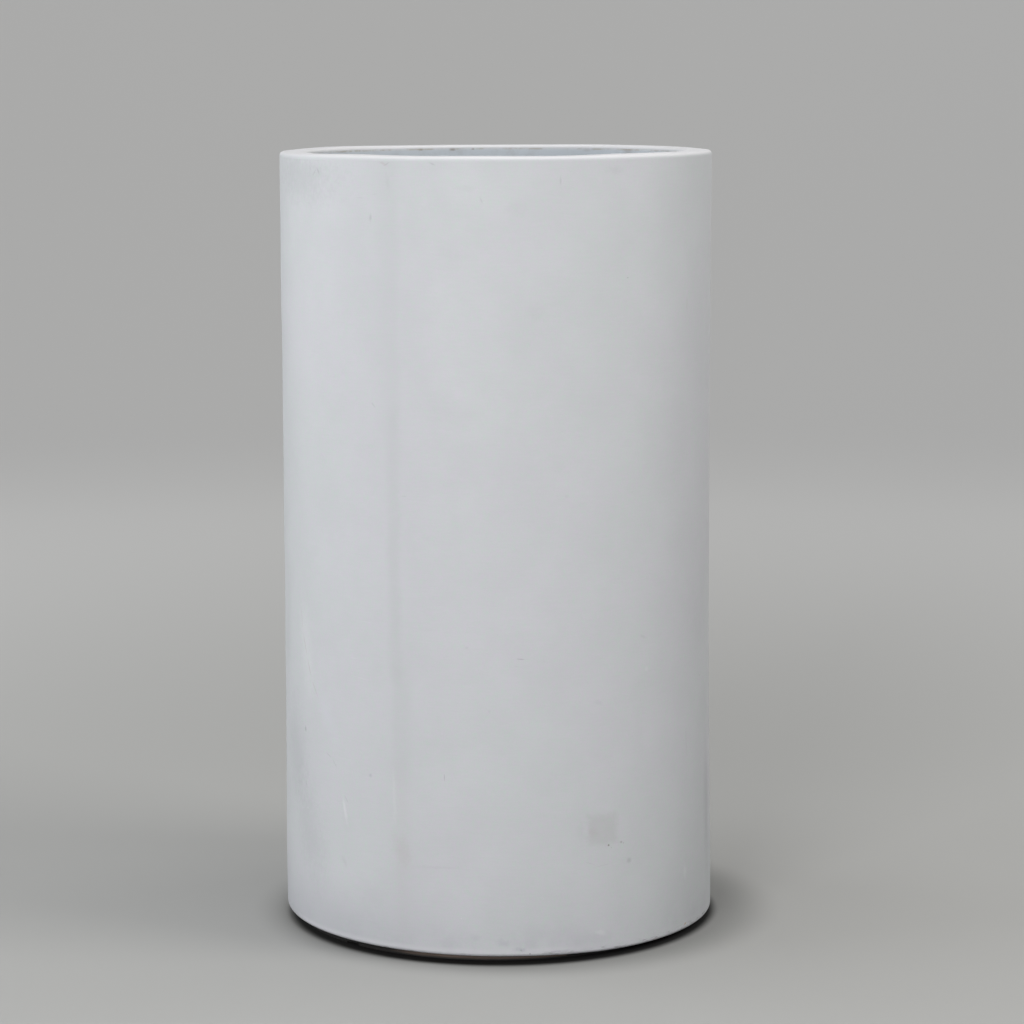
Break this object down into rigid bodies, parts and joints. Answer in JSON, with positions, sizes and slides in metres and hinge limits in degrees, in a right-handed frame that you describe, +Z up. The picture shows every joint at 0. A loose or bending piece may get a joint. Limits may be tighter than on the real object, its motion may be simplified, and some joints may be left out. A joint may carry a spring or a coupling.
{
  "type": "planter",
  "caption": "Tall round fibreglass floor planter with a flat rolled rim, recessed foot ring and a lift-out drain plug in its base.",
  "frame": {"origin": "centre of the planter's footprint on the floor it stands on", "axes": "+Z up along the planter's axis; the pictured front faces -Y; +X to the right seen from the front"},
  "size_m": [0.5126, 0.5126, 0.914],
  "materials": {
    "white_coat": "satin",
    "seam_putty": "matte",
    "raw_laminate": "satin",
    "plywood": "matte",
    "black_paint": "matte",
    "zinc_screw": "satin",
    "grey_plastic": "satin",
    "black_rubber": "matte"
  },
  "bodies": {
    "planter": {"wall_left": "white_coat", "wall_right": "white_coat", "rim_ring": "white_coat", "rim_core": "plywood", "seam_filler": "seam_putty", "seam_tapes": "raw_laminate", "base_board": "plywood", "base_skin": "raw_laminate", "corner_tab": "raw_laminate", "foot_ring": "black_paint", "foot_screws": "zinc_screw", "drain_sleeve": "grey_plastic"},
    "drain_plug": {"drain_plug": "black_rubber"}
  },
  "joints": [
    {"name": "drain_plug_lift", "type": "slide", "parent": "planter", "child": "drain_plug", "axis": [0, 0, 1], "range_m": [0, 0.05]}
  ]
}
